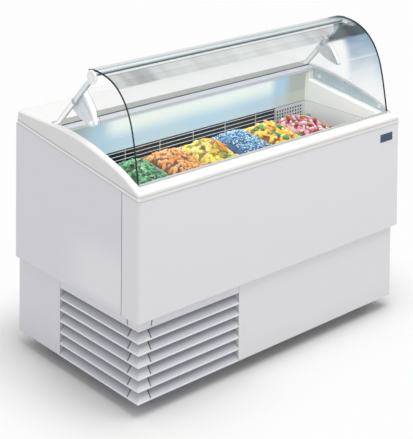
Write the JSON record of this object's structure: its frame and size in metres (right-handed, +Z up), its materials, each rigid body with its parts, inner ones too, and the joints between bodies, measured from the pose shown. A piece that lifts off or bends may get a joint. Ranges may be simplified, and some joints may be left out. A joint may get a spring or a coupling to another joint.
{
  "type": "ice cream display freezer",
  "caption": "Curved-glass scooping freezer: insulated cabinet on castors, tilting front glass on a tube, clear rear flap, lift-out steel pans and a louvred machine base.",
  "frame": {"origin": "on the floor at the centre of the footprint", "axes": "+X along the length to the customer's right, +Y from the customer side to the operator side, +Z up"},
  "size_m": [1.31, 0.684, 1.088],
  "materials": {
    "white_steel": "white powder coat",
    "white_moulding": "white gloss moulding",
    "louvre_plastic": "pale grey satin moulding",
    "fascia_plastic": "blue-grey satin",
    "grey_trim": "satin anodised",
    "black_rubber": "matt",
    "lamp_opal": "opal",
    "stainless": "brushed",
    "fin_aluminium": "mill",
    "satin_aluminium": "satin anodised",
    "zinc_steel": "zinc plated",
    "castor_rubber": "moulded",
    "black_paint": "gloss black",
    "black_plastic": "moulded",
    "copper": "bare copper",
    "front_glass": "clear with green edge",
    "clear_acrylic": "clear acrylic",
    "badge_metal": "printed plate",
    "foam": "rigid foam"
  },
  "bodies": {
    "cabinet": {"badge_plate": "badge_metal", "base_frame": "zinc_steel", "castor_brackets": "zinc_steel", "compressor": "black_paint", "condenser": "fin_aluminium", "electrical_box": "black_plastic", "evaporator_coil": "fin_aluminium", "evaporator_guard": "stainless", "fan_motor": "black_paint", "fascia_buttons": "white_moulding", "front_panel": "white_steel", "hinge_pins": "zinc_steel", "inner_fascia_left": "fascia_plastic", "inner_fascia_right": "fascia_plastic", "inner_tank": "stainless", "insulation_foam": "foam", "lamp_diffuser": "lamp_opal", "lamp_tube": "lamp_opal", "left_side_panel": "white_steel", "louvre_corner": "louvre_plastic", "louvre_front": "louvre_plastic", "louvre_side": "louvre_plastic", "pan_rails": "stainless", "panel_screws": "zinc_steel", "plinth_front_panel": "white_steel", "plinth_left_panel": "white_steel", "plinth_right_panel": "white_steel", "power_cord": "black_plastic", "rear_inner_panel": "white_moulding", "rear_panel": "white_steel", "rear_service_grille": "white_steel", "refrigerant_pipes": "copper", "right_side_panel": "white_steel", "seal_strips": "black_rubber", "strut_left": "satin_aluminium", "strut_right": "satin_aluminium", "top_frame": "white_moulding", "tube_end_caps": "white_moulding", "upper_liner": "white_moulding", "worktop_trim": "grey_trim"},
    "glass_frame": {"front_glass": "front_glass", "top_tube": "satin_aluminium"},
    "flap": {"flap_pane": "clear_acrylic", "flap_arm_left": "white_moulding", "flap_arm_right": "white_moulding"},
    "fan_rotor": {"fan_blades": "black_plastic"},
    "thermostat": {"thermostat_knob": "black_plastic"},
    "power_rocker": {"main_switch": "black_plastic"},
    "fork_left": {"castor_fork_front_left": "zinc_steel"},
    "fork_right": {"castor_fork_front_right": "zinc_steel"},
    "wheel_front_left": {"castor_wheel_front_left": "castor_rubber"},
    "wheel_front_right": {"castor_wheel_front_right": "castor_rubber"},
    "wheel_rear_left": {"castor_wheel_rear_left": "castor_rubber"},
    "wheel_rear_right": {"castor_wheel_rear_right": "castor_rubber"},
    "lift_pan_1": {"pan_1": "stainless"},
    "lift_pan_2": {"pan_2": "stainless"},
    "lift_pan_3": {"pan_3": "stainless"},
    "lift_pan_4": {"pan_4": "stainless"},
    "lift_pan_5": {"pan_5": "stainless"},
    "lift_pan_6": {"pan_6": "stainless"}
  },
  "joints": [
    {"name": "glass_tilt", "type": "hinge", "parent": "cabinet", "child": "glass_frame", "pos_m": [0, -0.066, 1.071], "axis": [-1, 0, 0], "range_deg": [0, 60]},
    {"name": "flap_tilt", "type": "hinge", "parent": "cabinet", "child": "flap", "pos_m": [0, 0.03, 0.9553], "axis": [1, 0, 0], "range_deg": [0, 45], "stiffness_Nm_per_rad": 3, "springref_deg": -34.38},
    {"name": "fan_spin", "type": "hinge", "parent": "cabinet", "child": "fan_rotor", "pos_m": [-0.52, -0.09, 0.186], "axis": [1, 0, 0], "continuous": true},
    {"name": "thermostat_turn", "type": "hinge", "parent": "cabinet", "child": "thermostat", "pos_m": [0.42, 0.33, 0.236], "axis": [0, 1, 0], "range_deg": [0, 270]},
    {"name": "switch_rock", "type": "hinge", "parent": "cabinet", "child": "power_rocker", "pos_m": [0.34, 0.316, 0.236], "axis": [1, 0, 0], "range_deg": [-8, 8]},
    {"name": "castor_swivel_left", "type": "hinge", "parent": "cabinet", "child": "fork_left", "pos_m": [-0.555, -0.245, 0.055], "axis": [0, 0, 1], "continuous": true},
    {"name": "castor_roll_front_left", "type": "hinge", "parent": "fork_left", "child": "wheel_front_left", "pos_m": [-0.537, -0.245, 0.025], "axis": [0, 1, 0], "continuous": true},
    {"name": "castor_roll_rear_left", "type": "hinge", "parent": "cabinet", "child": "wheel_rear_left", "pos_m": [-0.555, 0.245, 0.025], "axis": [1, 0, 0], "continuous": true},
    {"name": "castor_swivel_right", "type": "hinge", "parent": "cabinet", "child": "fork_right", "pos_m": [0.555, -0.245, 0.055], "axis": [0, 0, 1], "continuous": true},
    {"name": "castor_roll_front_right", "type": "hinge", "parent": "fork_right", "child": "wheel_front_right", "pos_m": [0.537, -0.245, 0.025], "axis": [0, 1, 0], "continuous": true},
    {"name": "castor_roll_rear_right", "type": "hinge", "parent": "cabinet", "child": "wheel_rear_right", "pos_m": [0.555, 0.245, 0.025], "axis": [1, 0, 0], "continuous": true},
    {"name": "pan_lift_1", "type": "slide", "parent": "cabinet", "child": "lift_pan_1", "axis": [0, 0, 1], "range_m": [0, 0.125]},
    {"name": "pan_lift_2", "type": "slide", "parent": "cabinet", "child": "lift_pan_2", "axis": [0, 0, 1], "range_m": [0, 0.125]},
    {"name": "pan_lift_3", "type": "slide", "parent": "cabinet", "child": "lift_pan_3", "axis": [0, 0, 1], "range_m": [0, 0.125]},
    {"name": "pan_lift_4", "type": "slide", "parent": "cabinet", "child": "lift_pan_4", "axis": [0, 0, 1], "range_m": [0, 0.125]},
    {"name": "pan_lift_5", "type": "slide", "parent": "cabinet", "child": "lift_pan_5", "axis": [0, 0, 1], "range_m": [0, 0.125]},
    {"name": "pan_lift_6", "type": "slide", "parent": "cabinet", "child": "lift_pan_6", "axis": [0, 0, 1], "range_m": [0, 0.125]}
  ]
}
